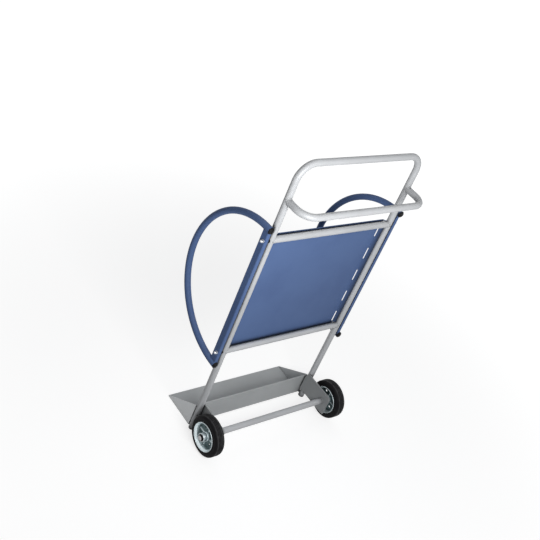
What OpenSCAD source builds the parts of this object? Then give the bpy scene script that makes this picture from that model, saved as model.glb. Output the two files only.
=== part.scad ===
// Stacking chair trolley: a tilting two-wheeled trolley with a bent tube frame, a toe plate,
// a sheet back panel and a half-round guard on each side. It stands upright on its toe plate.
// Millimetres. +X is the operator's right, +Y points forward over the toe plate, +Z is up.
// The origin is the middle of the toe plate's underside, on the floor.

/* [Frame tubes] */
// Outside diameter of every bent and straight tube
tube_d = 25; // [22:0.5:30]
// Wall thickness of the tubes
tube_wall = 1.5; // [1:0.1:2.5]
// Distance between the centre lines of the two uprights
upright_spacing = 580; // [520:5:680]
// Height of the top bar's centre line
top_bar_z = 1237; // [1200:1:1400]
// Centre-line radius of the two top corners
hoop_bend_r = 65; // [40:1:90]
// Height of the upper rail's centre line
upper_rail_z = 934; // [860:1:980]
// Height of the lower rail's centre line
lower_rail_z = 421; // [380:1:500]
// How far welded tube ends stop short of the centre plane of the tube they meet
weld_trim = 4; // [3:0.5:6]
// Thickness of the foot plug's head under each upright
foot_head_t = 3; // [2:0.5:6]
// Length of the foot plug's stem inside the tube
foot_stem = 18; // [10:1:30]

/* [Push handle] */
// Depth of the handle below the top bar, square off the uprights
handle_drop = 141; // [120:1:180]
// Distance from the uprights' centre plane to the grip bar
handle_reach = 102; // [95:1:150]
// Centre-line radius of the handle's two corners
handle_bend_r = 55; // [45:1:75]

/* [Side guards] */
// Centre-line radius of the half-round guard tube
guard_r = 309; // [280:1:330]
// How far the guard's middle lies below the middle between the two rails
guard_drop = 3; // [0:0.5:10]
// How far the half circle's centre lies ahead of the uprights' centre plane
guard_ahead = 3.5; // [0:0.5:10]
// Straight end of the guard tube behind the uprights' centre plane
guard_tail = 11.5; // [4:0.5:20]
// Width of the flat-sided tube that closes the guard, front to back
guard_bar_w = 30; // [26:1:40]
// Thickness of that tube, across the trolley
guard_bar_t = 16; // [12:0.5:18]
// Outside corner radius of that tube
guard_bar_r = 4; // [3:0.5:5]
// Wall of that tube
guard_bar_wall = 1.5; // [1:0.1:2]
// How far that tube's middle lies ahead of the uprights' centre plane
guard_bar_shift = 5.5; // [0:0.5:8]
// How far the round guard tube stands past the flat-sided tube's inner face
guard_tuck = 1; // [0.5:0.5:3]
// Length of the spacer that holds the guard off the upright
spacer_len = 4; // [3:0.5:10]
// Diameter of the spacer
spacer_d = 18; // [16:0.5:20]
// How far past the upright's centre plane the spacer's saddle starts
saddle_start = 6; // [3:0.5:7]
// Diameter of the welded stud that carries the guard
stud_d = 6; // [5:0.5:8]
// Across-flats width of the cap nut
nut_flats = 10; // [10:0.5:14]
// Height of the cap nut's hexagon
nut_hex_h = 5; // [4:0.5:8]
// Height of the cap nut's dome above the hexagon
nut_dome_h = 5.5; // [5:0.5:10]
// Outside diameter of the guard washer
guard_washer_d = 12.5; // [12:0.5:20]
// Thickness of the guard washer
guard_washer_t = 1.6; // [1:0.1:3]
// Height of the end plug's domed head
plug_head_h = 7; // [3:0.5:9]
// Height of the straight rim below the plug's dome
plug_rim = 1.5; // [1:0.1:2]
// Length of the end plug's stem inside the guard tube
plug_stem = 14; // [8:1:20]

/* [Back panel] */
// Gap between the panel's flat face and the uprights, bridged by the bent sides
panel_gap = 15.5; // [10:0.5:40]
// Clearance between the bent sides' edges and the uprights
side_clear = 2; // [1.5:0.5:5]
// Sheet thickness
panel_t = 1.5; // [1:0.1:2.5]
// Height of the panel's top edge above the upper rail's centre line
panel_above = 15; // [13:0.5:40]
// Depth of the panel's bottom edge below the lower rail's centre line
panel_below = 13; // [8:0.5:40]
// Number of slots along each fold
slot_count = 5; // [2:1:7]
// Length of each slot
slot_len = 52; // [30:1:60]
// Width of each slot on the panel's face and on its bent side
slot_face = 3; // [2:0.5:5]
// Clearance between the bent sides and the rails
rail_clear = 1; // [0.5:0.1:1.2]
// Shank diameter of the panel rivets
rivet_d = 4.8; // [3.2:0.1:6]
// Head diameter of the panel rivets
rivet_head_d = 9.6; // [8:0.2:14]
// Head height of the panel rivets
rivet_head_h = 1.5; // [1:0.1:2.5]
// Number of rivets along each rail
rivet_count = 4; // [2:1:6]
// Distance of the outermost rivets from the panel's sides
rivet_edge = 35; // [20:1:60]

/* [Toe plate] */
// Depth of the toe plate, front to back
toe_depth = 158; // [120:1:220]
// Plate thickness
toe_t = 4; // [3:0.5:6]
// Height of the rear flange
toe_flange_h = 107; // [90:1:140]
// Outside radius of the plate's bend
toe_bend_r = 8; // [6.5:0.5:14]
// Gap between the uprights and the plate's flange
toe_gap = 6; // [2:0.5:8]
// Number of short welds that bridge the gap on each upright
toe_weld_count = 3; // [2:1:5]
// Height of each short weld
toe_weld_h = 6; // [5:0.5:12]
// Width of each short weld
toe_weld_w = 10; // [6:0.5:12]
// Distance of the lowest and highest welds from the flange's ends
toe_weld_edge = 9; // [8:0.5:20]
// How far the plate reaches past each upright's centre line
toe_overhang = 1; // [0:0.5:8]
// Thickness of the triangular end gussets
gusset_t = 3; // [2:0.5:6]
// Height of the gusset at the plate's front edge
gusset_nose = 4; // [4:0.5:12]

/* [Axle and brackets] */
// Distance of the axle behind the uprights' centre plane
axle_setback = 114; // [106:1:130]
// Clearance of the wheels above the floor when the trolley stands upright
wheel_lift = 6.5; // [0:0.5:14]
// Thickness of the bracket plates
bracket_t = 5; // [3:0.5:8]
// Height of the bracket's lower edge
bracket_z0 = 40; // [25:1:55]
// Height of the bracket's upper edge
bracket_z1 = 134; // [125:1:150]
// How far the bracket reaches behind the axle
bracket_tail = 36; // [30:1:50]
// How far the bracket reaches ahead of the uprights' centre plane
bracket_nose = 9; // [4:0.5:11]
// Corner radius at the bracket's upper rear
bracket_top_r = 18; // [8:1:30]
// Corner radius at the bracket's lower rear
bracket_low_r = 6; // [3:1:15]
// Size of the sloping cut at the bracket's upper front
bracket_cut = 20; // [8:1:30]
// Diameter of the axle
axle_d = 20; // [16:0.5:20]
// Radial clearance of the axle in its tube and brackets
axle_fit = 0.05; // [0.02:0.01:0.1]
// Thickness of the washer between bracket and wheel
thrust_t = 5; // [2:0.5:8]
// Outside diameter of that washer
thrust_d = 36; // [32:0.5:44]
// Side play of the wheel on each end of its hub
hub_play = 0.5; // [0.3:0.1:1.5]
// Outside diameter of the push-on axle cap
cap_d = 25; // [24:0.5:28]
// Thickness of the cap's end and how far it overlaps the axle
cap_t = 2.5; // [2:0.5:5]
// Length of the axle inside the cap
cap_grip = 4; // [3:0.5:8]

/* [Wheels] */
// Wheel diameter over the tyre
wheel_d = 163; // [140:1:170]
// Tyre width
tyre_w = 43; // [36:1:50]
// Radius of the tyre's rounded shoulders
shoulder_r = 10; // [6:0.5:14]
// Number of grooves round the tread
groove_count = 3; // [1:1:3]
// Width and depth of each groove
groove = 2; // [1:0.1:2.5]
// Radius of the rim's lip
rim_lip_r = 58; // [55:0.5:62]
// Radius of the rim's barrel under the tyre
rim_barrel_r = 52; // [46:0.5:54]
// Sheet thickness of each rim half
rim_t = 2; // [1.5:0.1:3]
// Width of the sloping flare between barrel and lip
rim_flare = 6; // [3:0.5:8]
// How far the lip stands out past the tyre's side
rim_proud = 3; // [0.5:0.5:4]
// Height of the collar that seats each rim half on the hub
rim_collar = 14; // [8:1:20]
// Number of pressed ribs on each rim half
rib_count = 4; // [2:1:6]
// Half width of the pressed ribs
rib_r = 5; // [3:0.5:7]
// Turn of the ribs about the axle, in degrees
rib_turn = 0; // [0:5:90]
// Diameter of the round holes between the ribs
rim_hole_d = 10; // [6:0.5:12]
// Length of the hub tube
hub_len = 64; // [58:1:76]
// Bore of the hub tube
hub_bore = 30; // [30:0.5:31]
// Wall of the hub tube
hub_wall = 2; // [1.5:0.5:3]
// Number of rollers in each wheel bearing
roller_count = 10; // [6:1:12]
// Running clearance of the rollers
roller_fit = 0.1; // [0.05:0.01:0.15]
// Thickness of the roller cage
cage_t = 1.8; // [1.2:0.1:2.4]
// Solid end of the roller cage at each side
cage_end = 4; // [3:0.5:8]

/* [Hidden] */
$fn = 64;
eps = 0.1;
tube_r = tube_d / 2;
tube_bore_r = tube_r - tube_wall;
upright_x = upright_spacing / 2;
upright_y = -toe_depth / 2 - toe_gap - tube_r;
hoop_bend_z = top_bar_z - hoop_bend_r;
handle_z = top_bar_z - handle_drop;
plug_gap = 0.1;

guard_z = (upper_rail_z + lower_rail_z) / 2 - guard_drop;
bar_in_x = upright_x + tube_r + spacer_len;
bar_out_x = bar_in_x + guard_bar_t;
guard_x = bar_in_x + tube_r - guard_tuck;
stud_fit = 0.25;
thread_fit = 0.05;
nut_x = bar_out_x + guard_washer_t;
nut_dome_r = nut_flats / 2 - 0.3;
nut_bore = nut_hex_h + nut_dome_h - nut_dome_r + 1;
stud_tip_x = nut_x + nut_bore - 1;

panel_w = upright_spacing - tube_d - 2 * panel_gap;
panel_y = upright_y + tube_r;
side_reach = panel_gap - side_clear;
side_bend = atan2(tube_r, side_reach);
panel_z0 = lower_rail_z - panel_below;
panel_z1 = upper_rail_z + panel_above;
slot_pitch = (panel_z1 - panel_z0) / slot_count;
rivet_span = panel_w - 2 * rivet_edge;
rivet_reach = tube_wall + 3;
rivet_fit = 0.1;

toe_w = upright_spacing + 2 * toe_overhang;
toe_y0 = -toe_depth / 2;
toe_weld_span = toe_flange_h - 2 * toe_weld_edge;

axle_y = upright_y - axle_setback;
axle_z = wheel_d / 2 + wheel_lift;
axle_r = axle_d / 2;
bracket_out_x = upright_x - tube_r;
bracket_in_x = bracket_out_x - bracket_t;
hub_in_x = bracket_out_x + thrust_t + hub_play;
wheel_x = hub_in_x + hub_len / 2;
cap_x = hub_in_x + hub_len + hub_play;
axle_end_x = cap_x + cap_grip;

wheel_r = wheel_d / 2;
half_w = tyre_w / 2;
hub_bore_r = hub_bore / 2;
hub_r = hub_bore_r + hub_wall;
roller_r = (hub_bore_r - axle_r) / 2 - roller_fit;
roller_at = (hub_bore_r + axle_r) / 2;
roller_len = hub_len - 2 * cage_end - 2;
cage_len = hub_len - 2;

frame_grey = "silver";
guard_blue = "steelblue";
zinc = "lightsteelblue";
black = "dimgray";

// Solid rods along each axis, between two stations
module rod_x(r, x0, x1) {
    translate([x0, 0, 0])
        rotate([0, 90, 0])
            cylinder(r = r, h = x1 - x0);
}

module rod_y(r, y0, y1) {
    translate([0, y0, 0])
        rotate([-90, 0, 0])
            cylinder(r = r, h = y1 - y0);
}

module rod_z(r, z0, z1) {
    translate([0, 0, z0])
        cylinder(r = r, h = z1 - z0);
}

// Left and right copies
module both_sides() {
    children();
    mirror([1, 0, 0])
        children();
}

// A copy on one side only: -1 is left, +1 is right
module on_side(side) {
    mirror([side < 0 ? 1 : 0, 0, 0])
        children();
}

// A quarter bend about Z, from +X to +Y
module quarter_bend(bend_r, r) {
    rotate_extrude(angle = 90)
        translate([bend_r, 0])
            circle(r = r);
}

// Solid run of the inverted U: uprights, corners and top bar
module hoop_run(r, foot_z) {
    both_sides() {
        translate([upright_x, upright_y, 0])
            rod_z(r, foot_z, hoop_bend_z);
        translate([upright_x - hoop_bend_r, upright_y, hoop_bend_z])
            rotate([90, 0, 0])
                quarter_bend(hoop_bend_r, r);
    }
    translate([0, upright_y, top_bar_z])
        rod_x(r, hoop_bend_r - upright_x, upright_x - hoop_bend_r);
}

module hoop_frame() {
    color(frame_grey)
        difference() {
            hoop_run(tube_r, foot_head_t);
            hoop_run(tube_bore_r, foot_head_t - eps);
        }
}

// The straight uprights as solid rods, to cope what is welded to them
module upright_rods() {
    both_sides()
        translate([upright_x, upright_y, 0])
            rod_z(tube_r, 0, hoop_bend_z);
}

// Solid run of the handle: legs, corners and grip bar
module handle_run(r, leg_end) {
    translate([0, upright_y, handle_z]) {
        both_sides() {
            translate([upright_x, 0, 0])
                rod_y(r, handle_bend_r - handle_reach, -leg_end);
            translate([upright_x - handle_bend_r, handle_bend_r - handle_reach, 0])
                rotate([0, 0, -90])
                    quarter_bend(handle_bend_r, r);
        }
        translate([0, -handle_reach, 0])
            rod_x(r, handle_bend_r - upright_x, upright_x - handle_bend_r);
    }
}

module push_handle() {
    color(frame_grey)
        difference() {
            handle_run(tube_r, weld_trim);
            handle_run(tube_bore_r, 0);
            upright_rods();
        }
}

// Stations of the panel rivets across the width
function rivet_x(i) = rivet_span * (i / (rivet_count - 1) - 0.5);

module rail(z) {
    color(frame_grey)
        difference() {
            translate([0, upright_y, z])
                rod_x(tube_r, weld_trim - upright_x, upright_x - weld_trim);
            translate([0, upright_y, z])
                rod_x(tube_bore_r, -upright_x, upright_x);
            upright_rods();
            for (i = [0 : rivet_count - 1])
                translate([rivet_x(i), upright_y, z])
                    rod_y(rivet_d / 2 + rivet_fit, 0, tube_r + eps);
        }
}

module foot_plugs() {
    color(black)
        both_sides()
            translate([upright_x, upright_y, 0]) {
                rod_z(tube_r, 0, foot_head_t);
                rod_z(tube_bore_r - plug_gap, 0, foot_head_t + foot_stem);
            }
}

// Section of the panel across its width: flat face and two sides bent back to the uprights
module panel_section() {
    fold = panel_w / 2;
    front = fold + panel_t * tan(side_bend / 2);
    edge = fold + side_reach;
    edge_front = edge + panel_t * sin(side_bend);
    edge_y = panel_t * cos(side_bend) - tube_r;
    polygon([[-fold, 0], [fold, 0], [edge, -tube_r], [edge_front, edge_y], [front, panel_t],
        [-front, panel_t], [-edge_front, edge_y], [-edge, -tube_r]]);
}

// Slots along the two folds
module panel_slots() {
    across = slot_face * cos(side_bend);
    back = slot_face * sin(side_bend);
    both_sides()
        for (i = [0 : slot_count - 1])
            translate([panel_w / 2 - slot_face, panel_y - back - eps,
                panel_z0 + (i + 0.5) * slot_pitch - slot_len / 2])
                cube([slot_face + across, back + panel_t + 2 * eps, slot_len]);
}

module back_panel() {
    color(guard_blue)
        difference() {
            translate([0, panel_y, panel_z0])
                linear_extrude(panel_z1 - panel_z0)
                    panel_section();
            panel_slots();
            for (z = [lower_rail_z, upper_rail_z]) {
                both_sides()
                    translate([0, upright_y, z])
                        rod_x(tube_r + rail_clear, panel_w / 2, upright_x);
                for (i = [0 : rivet_count - 1])
                    translate([rivet_x(i), panel_y, z])
                        rod_y(rivet_d / 2 + rivet_fit, -eps, panel_t + eps);
            }
        }
}

// Blind rivets that hold the panel to the fronts of the rails
module panel_rivets() {
    color(zinc)
        for (z = [lower_rail_z, upper_rail_z])
            for (i = [0 : rivet_count - 1])
                translate([rivet_x(i), panel_y + panel_t, z]) {
                    rod_y(rivet_d / 2, -panel_t - rivet_reach, 0);
                    rod_y(rivet_head_d / 2, 0, rivet_head_h);
                }
}

// Solid run of one guard tube on the right, with straight tails of the given length
module guard_run(r, tail) {
    translate([guard_x, upright_y + guard_ahead, guard_z]) {
        rotate([0, -90, 0])
            rotate_extrude(angle = 180)
                translate([guard_r, 0])
                    circle(r = r);
        for (z = [-guard_r, guard_r])
            translate([0, 0, z])
                rod_y(r, -guard_ahead - tail, 0);
    }
}

module guard_tube(side) {
    color(guard_blue)
        on_side(side)
            difference() {
                guard_run(tube_r, guard_tail);
                guard_run(tube_bore_r, guard_tail + eps);
            }
}

// Rectangle with rounded corners about the origin
module rounded_rect(w, d, r) {
    square([w - 2 * r, d], center = true);
    square([w, d - 2 * r], center = true);
    for (x = [r - w / 2, w / 2 - r])
        for (y = [r - d / 2, d / 2 - r])
            translate([x, y])
                circle(r = r);
}

// Solid run of the flat-sided tube on the right, shrunk by inset
module guard_bar_run(inset) {
    translate([bar_in_x + guard_bar_t / 2, upright_y + guard_bar_shift, guard_z - guard_r - inset])
        linear_extrude(2 * (guard_r + inset))
            rounded_rect(guard_bar_t - 2 * inset, guard_bar_w - 2 * inset, guard_bar_r - inset);
}

// Flat-sided tube that closes the guard, coped to the round tube and drilled for the studs
module guard_bar(side) {
    color(guard_blue)
        on_side(side)
            difference() {
                guard_bar_run(0);
                guard_bar_run(guard_bar_wall);
                guard_run(tube_r, guard_bar_w);
                at_studs()
                    rod_x(stud_d / 2 + stud_fit, bar_in_x - eps, bar_out_x + eps);
            }
}

// The two fixing points of the right guard, level with the rails
module at_studs() {
    for (z = [lower_rail_z, upper_rail_z])
        translate([0, upright_y, z])
            children();
}

module guard_end_plugs() {
    color(black)
        both_sides()
            for (z = [-guard_r, guard_r])
                translate([guard_x, upright_y - guard_tail, guard_z + z])
                    rotate([90, 0, 0]) {
                        rod_z(tube_bore_r - plug_gap, -plug_stem, 0);
                        plug_head();
                    }
}

// Domed head on a short cylinder
module plug_head() {
    dome_r = (pow(tube_r, 2) + pow(plug_head_h - plug_rim, 2)) / (2 * (plug_head_h - plug_rim));
    rod_z(tube_r, 0, plug_rim);
    intersection() {
        translate([0, 0, plug_head_h - dome_r])
            sphere(r = dome_r);
        rod_z(tube_r, plug_rim, plug_head_h + eps);
    }
}

// Studs welded to the outer sides of the uprights
module guard_studs() {
    color(zinc)
        difference() {
            both_sides()
                at_studs()
                    rod_x(stud_d / 2, upright_x + saddle_start, stud_tip_x);
            upright_rods();
        }
}

// Spacers with a saddle that fits the upright
module guard_spacers() {
    color(black)
        difference() {
            both_sides()
                at_studs()
                    difference() {
                        rod_x(spacer_d / 2, upright_x + saddle_start, bar_in_x);
                        rod_x(stud_d / 2 + stud_fit, upright_x, bar_in_x + eps);
                    }
            upright_rods();
        }
}

module guard_washers() {
    color(zinc)
        both_sides()
            at_studs()
                difference() {
                    rod_x(guard_washer_d / 2, bar_out_x, nut_x);
                    rod_x(stud_d / 2 + stud_fit, bar_out_x - eps, nut_x + eps);
                }
}

module guard_cap_nuts() {
    color(zinc)
        both_sides()
            at_studs()
                translate([nut_x, 0, 0])
                    rotate([0, 90, 0])
                        cap_nut();
}

// Hexagon with a domed top and a blind bore
module cap_nut() {
    neck_h = nut_hex_h + nut_dome_h - nut_dome_r;
    difference() {
        union() {
            cylinder(d = nut_flats / cos(30), h = nut_hex_h, $fn = 6);
            rod_z(nut_dome_r, 0, neck_h);
            translate([0, 0, neck_h])
                sphere(r = nut_dome_r);
        }
        rod_z(stud_d / 2 + thread_fit, -eps, nut_bore);
    }
}

// Bent plate: base on the floor and a flange behind the load
module toe_section() {
    translate([toe_y0 + toe_bend_r, 0])
        square([toe_depth - toe_bend_r, toe_t]);
    translate([toe_y0, toe_bend_r])
        square([toe_t, toe_flange_h - toe_bend_r]);
    translate([toe_y0 + toe_bend_r, toe_bend_r])
        intersection() {
            difference() {
                circle(r = toe_bend_r);
                circle(r = toe_bend_r - toe_t);
            }
            translate([-toe_bend_r - eps, -toe_bend_r - eps])
                square(toe_bend_r + eps);
        }
}

// Stands a section drawn in depth and height up, and gives it a width from x0 to x1
module extrude_across(x0, x1) {
    translate([x0, 0, 0])
        rotate([90, 0, 90])
            linear_extrude(x1 - x0)
                children();
}

module toe_plate() {
    color(frame_grey)
        extrude_across(-toe_w / 2, toe_w / 2)
            toe_section();
}

module toe_gusset(side) {
    color(frame_grey)
        on_side(side)
            extrude_across(toe_w / 2, toe_w / 2 + gusset_t)
                polygon([[toe_y0, 0], [-toe_y0, 0], [-toe_y0, gusset_nose],
                    [toe_y0 + toe_t, toe_flange_h], [toe_y0, toe_flange_h]]);
}

// Short welds between the uprights and the flange
module toe_welds() {
    color(frame_grey)
        difference() {
            both_sides()
                for (i = [0 : toe_weld_count - 1])
                    translate([upright_x - toe_weld_w / 2, upright_y,
                        toe_weld_edge + toe_weld_span * i / (toe_weld_count - 1) - toe_weld_h / 2])
                        cube([toe_weld_w, tube_r + toe_gap, toe_weld_h]);
            upright_rods();
        }
}

// Outline of the bracket plate, seen from the side
module bracket_section() {
    rear = axle_y - bracket_tail;
    nose = upright_y + bracket_nose;
    low = bracket_z0 + bracket_low_r;
    high = bracket_z1 - bracket_top_r;
    difference() {
        union() {
            translate([rear, low])
                square([nose - rear, high - low]);
            translate([rear + bracket_low_r, bracket_z0])
                square([nose - rear - bracket_low_r, bracket_low_r + eps]);
            translate([rear + bracket_top_r, high - eps])
                square([nose - rear - bracket_top_r, bracket_top_r + eps]);
            translate([rear + bracket_low_r, low])
                circle(r = bracket_low_r);
            translate([rear + bracket_top_r, high])
                circle(r = bracket_top_r);
        }
        translate([axle_y, axle_z])
            circle(r = axle_r + axle_fit);
        polygon([[nose - bracket_cut / 2, bracket_z1 + eps], [nose + eps, bracket_z1 + eps],
            [nose + eps, bracket_z1 - bracket_cut]]);
    }
}

module axle_bracket(side) {
    color(frame_grey)
        on_side(side)
            extrude_across(bracket_in_x, bracket_out_x)
                bracket_section();
}

module axle_tube() {
    color(frame_grey)
        translate([0, axle_y, axle_z])
            difference() {
                rod_x(tube_r, -bracket_in_x, bracket_in_x);
                rod_x(axle_r + axle_fit, -bracket_in_x - eps, bracket_in_x + eps);
            }
}

module axle() {
    color(zinc)
        translate([0, axle_y, axle_z])
            rod_x(axle_r, -axle_end_x, axle_end_x);
}

module thrust_washers() {
    color(zinc)
        translate([0, axle_y, axle_z])
            both_sides()
                difference() {
                    rod_x(thrust_d / 2, bracket_out_x, bracket_out_x + thrust_t);
                    rod_x(axle_r + axle_fit, bracket_out_x - eps, bracket_out_x + thrust_t + eps);
                }
}

module axle_caps() {
    color(zinc)
        translate([0, axle_y, axle_z])
            both_sides()
                difference() {
                    rod_x(cap_d / 2, cap_x, axle_end_x + cap_t);
                    rod_x(axle_r, cap_x - eps, axle_end_x);
                }
}

// Wheel frame: local Z is the axle, pointing outwards from the trolley
module at_wheel(side) {
    translate([side * wheel_x, axle_y, axle_z])
        rotate([0, 90 * side, 0])
            children();
}

// Half of the rim's section, radius across and outward distance up
module rim_section() {
    polygon([[hub_r, 0], [hub_r, rim_collar], [hub_r + rim_t, rim_collar], [hub_r + rim_t, rim_t],
        [rim_barrel_r - rim_t, rim_t], [rim_barrel_r - rim_t, half_w - rim_flare],
        [rim_lip_r - rim_t, half_w], [rim_lip_r - rim_t, half_w + rim_proud],
        [rim_lip_r, half_w + rim_proud], [rim_lip_r, half_w],
        [rim_barrel_r, half_w - rim_flare], [rim_barrel_r, 0]]);
}

// Tyre section seated between the two rim halves, with rounded shoulders and tread grooves
module tyre_section() {
    crown = half_w - shoulder_r;
    difference() {
        polygon([[rim_barrel_r, rim_flare - half_w], [rim_barrel_r, half_w - rim_flare],
            [rim_lip_r, half_w], [wheel_r, half_w], [wheel_r, -half_w], [rim_lip_r, -half_w]]);
        for (side = [-1, 1])
            translate([wheel_r - shoulder_r, side * crown])
                difference() {
                    translate([0, side < 0 ? -shoulder_r - eps : 0])
                        square(shoulder_r + eps);
                    circle(r = shoulder_r);
                }
        for (i = [1 : groove_count])
            translate([wheel_r - groove, crown * (2 * i / (groove_count + 1) - 1) - groove / 2])
                square([groove + eps, groove]);
    }
}

module tyre(side) {
    color(black)
        at_wheel(side)
            rotate_extrude()
                tyre_section();
}

// Positions of the ribs and, half a step on, of the holes
function rib_angle(i) = rib_turn + 360 * i / rib_count;

// One pressed rim half; face is +1 for the outer half and -1 for the inner half
module rim_half(side, face) {
    color(zinc)
        at_wheel(side)
            mirror([0, 0, face < 0 ? 1 : 0])
                difference() {
                    union() {
                        rotate_extrude()
                            rim_section();
                        for (i = [0 : rib_count - 1])
                            rotate([0, 0, rib_angle(i)])
                                translate([0, 0, rim_t])
                                    rod_x(rib_r, hub_r + rim_t / 2, rim_barrel_r - rim_t / 2);
                    }
                    rod_z(rim_barrel_r + eps, -rib_r - eps, 0);
                    at_rim_holes()
                        rod_z(rim_hole_d / 2, -eps, rim_t + eps);
                }
}

module at_rim_holes() {
    for (i = [0 : rib_count - 1])
        rotate([0, 0, rib_angle(i + 0.5)])
            translate([(hub_r + rim_barrel_r) / 2, 0, 0])
                children();
}

module hub(side) {
    color(zinc)
        at_wheel(side)
            difference() {
                rod_z(hub_r, -hub_len / 2, hub_len / 2);
                rod_z(hub_bore_r, -hub_len / 2 - eps, hub_len / 2 + eps);
            }
}

// Positions of the rollers round the axle
module at_rollers() {
    for (i = [0 : roller_count - 1])
        rotate([0, 0, 360 * i / roller_count])
            translate([roller_at, 0, 0])
                children();
}

module roller_cage(side) {
    color(black)
        at_wheel(side)
            difference() {
                rod_z(roller_at + cage_t / 2, -cage_len / 2, cage_len / 2);
                rod_z(roller_at - cage_t / 2, -cage_len / 2 - eps, cage_len / 2 + eps);
                at_rollers()
                    rod_z(roller_r + roller_fit, -roller_len / 2 - roller_fit, roller_len / 2 + roller_fit);
            }
}

module rollers(side) {
    color(zinc)
        at_wheel(side)
            at_rollers()
                rod_z(roller_r, -roller_len / 2, roller_len / 2);
}

hoop_frame();
push_handle();
rail(upper_rail_z);  // upper_rail
rail(lower_rail_z);  // lower_rail
foot_plugs();
back_panel();
panel_rivets();
guard_tube(-1);  // left_guard_tube
guard_tube(1);  // right_guard_tube
guard_bar(-1);  // left_guard_bar
guard_bar(1);  // right_guard_bar
guard_end_plugs();
guard_studs();
guard_spacers();
guard_washers();
guard_cap_nuts();
toe_plate();
toe_gusset(-1);  // left_toe_gusset
toe_gusset(1);  // right_toe_gusset
toe_welds();
axle_bracket(-1);  // left_axle_bracket
axle_bracket(1);  // right_axle_bracket
axle_tube();
axle();
thrust_washers();
axle_caps();
tyre(-1);  // left_tyre
rim_half(-1, 1);  // left_rim_outer
rim_half(-1, -1);  // left_rim_inner
hub(-1);  // left_hub
roller_cage(-1);  // left_roller_cage
rollers(-1);  // left_rollers
tyre(1);  // right_tyre
rim_half(1, 1);  // right_rim_outer
rim_half(1, -1);  // right_rim_inner
hub(1);  // right_hub
roller_cage(1);  // right_roller_cage
rollers(1);  // right_rollers
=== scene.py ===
# %% [markdown]
# # Stacking chair trolley
# A tilting trolley of bent steel tube with a toe plate, a blue back panel, two half-round side
# guards and two solid-tyred wheels. The construction solids come in as a fixed frame, already at
# full size and in place. This script gives them their finishes and adds the small formed details:
# pressed rims, moulded tyres, rivets, plugs and weld seams.

# %% Load the frame
import math

import bmesh
import bpy
from mathutils import Matrix, Vector


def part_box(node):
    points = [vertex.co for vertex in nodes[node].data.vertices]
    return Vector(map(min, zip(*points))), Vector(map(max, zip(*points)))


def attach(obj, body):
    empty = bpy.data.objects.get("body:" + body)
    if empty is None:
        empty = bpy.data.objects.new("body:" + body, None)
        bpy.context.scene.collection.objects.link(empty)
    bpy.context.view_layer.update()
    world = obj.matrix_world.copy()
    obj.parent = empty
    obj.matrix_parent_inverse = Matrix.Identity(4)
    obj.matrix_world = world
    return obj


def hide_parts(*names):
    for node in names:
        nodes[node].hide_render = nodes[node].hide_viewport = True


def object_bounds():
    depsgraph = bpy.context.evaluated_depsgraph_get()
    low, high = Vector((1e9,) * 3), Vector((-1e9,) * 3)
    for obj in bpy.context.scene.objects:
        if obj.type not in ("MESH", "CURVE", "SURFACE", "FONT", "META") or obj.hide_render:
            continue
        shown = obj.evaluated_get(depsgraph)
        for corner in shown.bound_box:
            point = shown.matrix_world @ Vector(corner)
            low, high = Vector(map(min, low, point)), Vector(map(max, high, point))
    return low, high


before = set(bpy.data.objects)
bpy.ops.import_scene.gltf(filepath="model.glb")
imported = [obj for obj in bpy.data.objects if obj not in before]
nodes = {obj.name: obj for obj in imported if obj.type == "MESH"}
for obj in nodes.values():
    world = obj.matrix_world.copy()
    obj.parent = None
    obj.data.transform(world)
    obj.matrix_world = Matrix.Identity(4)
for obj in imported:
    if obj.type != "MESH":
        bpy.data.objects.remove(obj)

cad_lo, cad_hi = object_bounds()
print("frame:", len(nodes), "nodes,", [round(v, 3) for v in cad_hi - cad_lo], "m")

# %% [markdown]
# ## Sizes that everything hangs on
# The details have to sit on the solids to a tenth of a millimetre, so no position is typed in.
# Each one is read from the box of the solid that carries the detail.

# %% Measure the frame
MM = 0.001
SIDES = (("left", -1), ("right", 1))


def middle(node):
    """Centre of a solid's box."""
    lo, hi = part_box(node)
    return (lo + hi) / 2


def extent(node):
    """Size of a solid's box."""
    lo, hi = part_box(node)
    return hi - lo


tube_r = extent("upper_rail").z / 2
upright_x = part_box("hoop_frame")[1].x - tube_r
upright_y = middle("hoop_frame").y
rail_heights = [middle("lower_rail").z, middle("upper_rail").z]
handle_z = middle("push_handle").z
panel_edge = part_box("back_panel")[1].x
axle_at = middle("axle")
wheel_x = middle("right_tyre").x
wheel_r = extent("right_tyre").z / 2
tyre_half = extent("right_tyre").x / 2
print("tube radius", round(tube_r / MM, 2), "mm; wheel radius", round(wheel_r / MM, 1), "mm")

# %% [markdown]
# ## Building shader graphs with little code
# A procedural finish is a graph of small nodes. The first helper adds a node and sets its sockets
# by name, and the last makes a node group with named inputs and outputs. Those between are the few
# nodes that nearly every graph here needs. A group is the right home for an effect that several
# finishes share.


# %% Graph helpers
def add(tree, kind, settings=None, **sockets):
    """Add a node; settings are its own options, sockets are values or links by socket name."""
    node = tree.nodes.new(kind)
    for key, value in (settings or {}).items():
        setattr(node, key, value)
    for key, value in sockets.items():
        socket = node.inputs[int(key[1:]) if key[0] == "_" else key.replace("_", " ")]
        if isinstance(value, bpy.types.NodeSocket):
            tree.links.new(value, socket)
        else:
            socket.default_value = value
    return node


def math_node(tree, operation, a, b=0.0, clamp=False):
    """A Math node's result socket."""
    settings = {"operation": operation, "use_clamp": clamp}
    return add(tree, "ShaderNodeMath", settings, _0=a, _1=b).outputs[0]


def times(tree, a, b, clamp=False):
    """The product of two values."""
    return math_node(tree, "MULTIPLY", a, b, clamp)


def mix_colour(tree, factor, first, second):
    """A colour blend's result socket."""
    node = add(tree, "ShaderNodeMix", {"data_type": "RGBA"}, Factor=factor, _6=first, _7=second)
    return node.outputs[2]


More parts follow.
